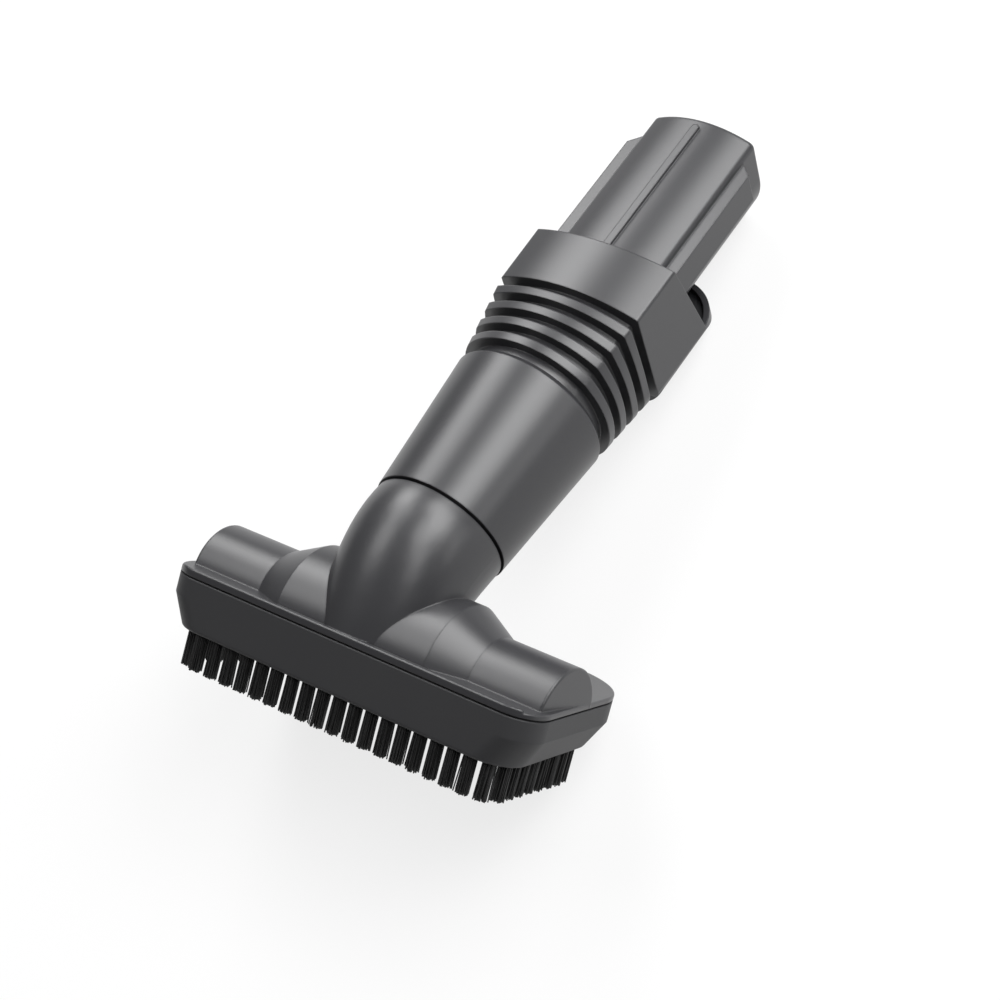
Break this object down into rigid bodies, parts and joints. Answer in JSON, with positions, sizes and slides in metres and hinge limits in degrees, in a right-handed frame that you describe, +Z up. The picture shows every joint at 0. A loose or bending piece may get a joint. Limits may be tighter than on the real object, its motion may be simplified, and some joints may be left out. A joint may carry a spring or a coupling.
{
  "type": "vacuum dusting brush",
  "caption": "Dusting brush for a vacuum cleaner: bristled oblong head, leaning hollow tube with grip ribs, cornered collar and keyed wand plug with a release catch underneath.",
  "frame": {"origin": "bottom centre of the bounding box, on the surface the brush lies on", "axes": "+X along the bristle head, +Y from the head towards the plug's tip, +Z up with the brush lying at rest"},
  "size_m": [0.106, 0.1854, 0.0612],
  "materials": {
    "body_plastic": "iron-grey moulded ABS with a satin sheen",
    "frame_plastic": "near-black moulded polypropylene, fine matt grain",
    "bristle": "black nylon filament",
    "steel": "bright drawn wire"
  },
  "bodies": {
    "brush": {"head_housing": "body_plastic", "brush_frame": "frame_plastic", "bristle_tufts": "bristle", "wand_connector": "body_plastic", "catch_pin": "steel", "catch_spring": "steel"},
    "catch": {"release_catch": "body_plastic"}
  },
  "joints": [
    {"name": "catch_press", "type": "hinge", "parent": "brush", "child": "catch", "pos_m": [0, 0.03784, 0.0101], "axis": [-1, 0, 0], "range_deg": [0, 4.5], "stiffness_Nm_per_rad": 0.5, "springref_deg": -2.86, "deforming": ["catch_spring"]}
  ]
}
